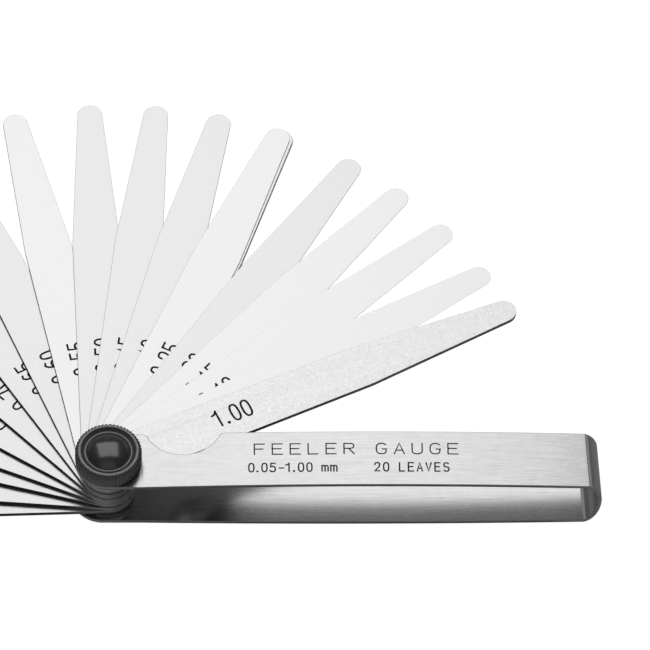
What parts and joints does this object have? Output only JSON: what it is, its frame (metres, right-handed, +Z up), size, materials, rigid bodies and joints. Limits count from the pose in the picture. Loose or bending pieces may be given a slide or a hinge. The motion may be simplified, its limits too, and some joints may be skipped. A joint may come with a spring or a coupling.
{
  "type": "feeler gauge",
  "caption": "Folding feeler gauge: tapered steel thickness leaves fan out of a U-shaped steel case on one pivot bolt, clamped by a black knurled lock nut with a domed cap.",
  "frame": {"origin": "on the pivot axis at the underside of the pivot bolt's head, the face that the gauge rests on", "axes": "+Z up along the pivot axis towards the lock nut, +X along the case from the pivot to the bend, +Y to the side where the leaves fan out"},
  "size_m": [0.1978, 0.1018, 0.0182],
  "materials": {
    "case_steel": "stainless strip brushed along its length",
    "leaf_steel": "fine ground spring steel",
    "bolt_steel": "turned steel",
    "black_oxide": "black oxide, satin",
    "cap_gloss": "glossy black"
  },
  "bodies": {
    "case": {"case_strip": "case_steel", "pivot_bolt": "bolt_steel", "friction_washer": "bolt_steel"},
    "washer": {"lock_washer": "black_oxide"},
    "nut": {"lock_nut": "black_oxide", "nut_cap": "cap_gloss"},
    "leaf_0_95": {"leaf_0_95": "leaf_steel"},
    "leaf_0_90": {"leaf_0_90": "leaf_steel"},
    "leaf_0_85": {"leaf_0_85": "leaf_steel"},
    "leaf_0_80": {"leaf_0_80": "leaf_steel"},
    "leaf_0_75": {"leaf_0_75": "leaf_steel"},
    "leaf_0_70": {"leaf_0_70": "leaf_steel"},
    "leaf_0_65": {"leaf_0_65": "leaf_steel"},
    "leaf_0_60": {"leaf_0_60": "leaf_steel"},
    "leaf_0_55": {"leaf_0_55": "leaf_steel"},
    "leaf_0_50": {"leaf_0_50": "leaf_steel"},
    "leaf_0_45": {"leaf_0_45": "leaf_steel"},
    "leaf_0_40": {"leaf_0_40": "leaf_steel"},
    "leaf_0_35": {"leaf_0_35": "leaf_steel"},
    "leaf_0_30": {"leaf_0_30": "leaf_steel"},
    "leaf_0_25": {"leaf_0_25": "leaf_steel"},
    "leaf_0_20": {"leaf_0_20": "leaf_steel"},
    "leaf_0_15": {"leaf_0_15": "leaf_steel"},
    "leaf_0_10": {"leaf_0_10": "leaf_steel"},
    "leaf_0_05": {"leaf_0_05": "leaf_steel"},
    "leaf_1_00": {"leaf_1_00": "leaf_steel"}
  },
  "joints": [
    {"name": "nut_turn", "type": "hinge", "parent": "case", "child": "washer", "pos_m": [0, 0, 0.014], "axis": [0, 0, 1], "range_deg": [0, 720]},
    {"name": "nut_lift", "type": "slide", "parent": "washer", "child": "nut", "axis": [0, 0, 1], "range_m": [0, 0.0016]},
    {"name": "leaf_0_95_swing", "type": "hinge", "parent": "case", "child": "leaf_0_95", "pos_m": [0, 0, 0.00278], "axis": [0, 0, 1], "range_deg": [-182.1, 177.9]},
    {"name": "leaf_0_90_swing", "type": "hinge", "parent": "case", "child": "leaf_0_90", "pos_m": [0, 0, 0.00372], "axis": [0, 0, 1], "range_deg": [-175.7, 184.3]},
    {"name": "leaf_0_85_swing", "type": "hinge", "parent": "case", "child": "leaf_0_85", "pos_m": [0, 0, 0.00462], "axis": [0, 0, 1], "range_deg": [-165.4, 194.6]},
    {"name": "leaf_0_80_swing", "type": "hinge", "parent": "case", "child": "leaf_0_80", "pos_m": [0, 0, 0.00546], "axis": [0, 0, 1], "range_deg": [-157.5, 202.5]},
    {"name": "leaf_0_75_swing", "type": "hinge", "parent": "case", "child": "leaf_0_75", "pos_m": [0, 0, 0.00626], "axis": [0, 0, 1], "range_deg": [-147.4, 212.6]},
    {"name": "leaf_0_70_swing", "type": "hinge", "parent": "case", "child": "leaf_0_70", "pos_m": [0, 0, 0.007], "axis": [0, 0, 1], "range_deg": [-134.9, 225.1]},
    {"name": "leaf_0_65_swing", "type": "hinge", "parent": "case", "child": "leaf_0_65", "pos_m": [0, 0, 0.00769], "axis": [0, 0, 1], "range_deg": [-123.1, 236.9]},
    {"name": "leaf_0_60_swing", "type": "hinge", "parent": "case", "child": "leaf_0_60", "pos_m": [0, 0, 0.00834], "axis": [0, 0, 1], "range_deg": [-112.9, 247.1]},
    {"name": "leaf_0_55_swing", "type": "hinge", "parent": "case", "child": "leaf_0_55", "pos_m": [0, 0, 0.00894], "axis": [0, 0, 1], "range_deg": [-102.3, 257.7]},
    {"name": "leaf_0_50_swing", "type": "hinge", "parent": "case", "child": "leaf_0_50", "pos_m": [0, 0, 0.00948], "axis": [0, 0, 1], "range_deg": [-92.3, 267.7]},
    {"name": "leaf_0_45_swing", "type": "hinge", "parent": "case", "child": "leaf_0_45", "pos_m": [0, 0, 0.00997], "axis": [0, 0, 1], "range_deg": [-83.5, 276.5]},
    {"name": "leaf_0_40_swing", "type": "hinge", "parent": "case", "child": "leaf_0_40", "pos_m": [0, 0, 0.01042], "axis": [0, 0, 1], "range_deg": [-75, 285]},
    {"name": "leaf_0_35_swing", "type": "hinge", "parent": "case", "child": "leaf_0_35", "pos_m": [0, 0, 0.01081], "axis": [0, 0, 1], "range_deg": [-66.2, 293.8]},
    {"name": "leaf_0_30_swing", "type": "hinge", "parent": "case", "child": "leaf_0_30", "pos_m": [0, 0, 0.01116], "axis": [0, 0, 1], "range_deg": [-66.3, 293.7]},
    {"name": "leaf_0_25_swing", "type": "hinge", "parent": "case", "child": "leaf_0_25", "pos_m": [0, 0, 0.01145], "axis": [0, 0, 1], "range_deg": [-66.7, 293.3]},
    {"name": "leaf_0_20_swing", "type": "hinge", "parent": "case", "child": "leaf_0_20", "pos_m": [0, 0, 0.0117], "axis": [0, 0, 1], "range_deg": [-56, 304]},
    {"name": "leaf_0_15_swing", "type": "hinge", "parent": "case", "child": "leaf_0_15", "pos_m": [0, 0, 0.01189], "axis": [0, 0, 1], "range_deg": [-48.1, 311.9]},
    {"name": "leaf_0_10_swing", "type": "hinge", "parent": "case", "child": "leaf_0_10", "pos_m": [0, 0, 0.01204], "axis": [0, 0, 1], "range_deg": [-39.8, 320.2]},
    {"name": "leaf_0_05_swing", "type": "hinge", "parent": "case", "child": "leaf_0_05", "pos_m": [0, 0, 0.01213], "axis": [0, 0, 1], "range_deg": [-31.4, 328.6]},
    {"name": "leaf_1_00_swing", "type": "hinge", "parent": "case", "child": "leaf_1_00", "pos_m": [0, 0, 0.01268], "axis": [0, 0, 1], "range_deg": [-24.7, 335.3]}
  ],
  "couplings": [
    {"joint": "nut_turn", "follows": "nut_lift", "rad_per_m": 7854}
  ]
}
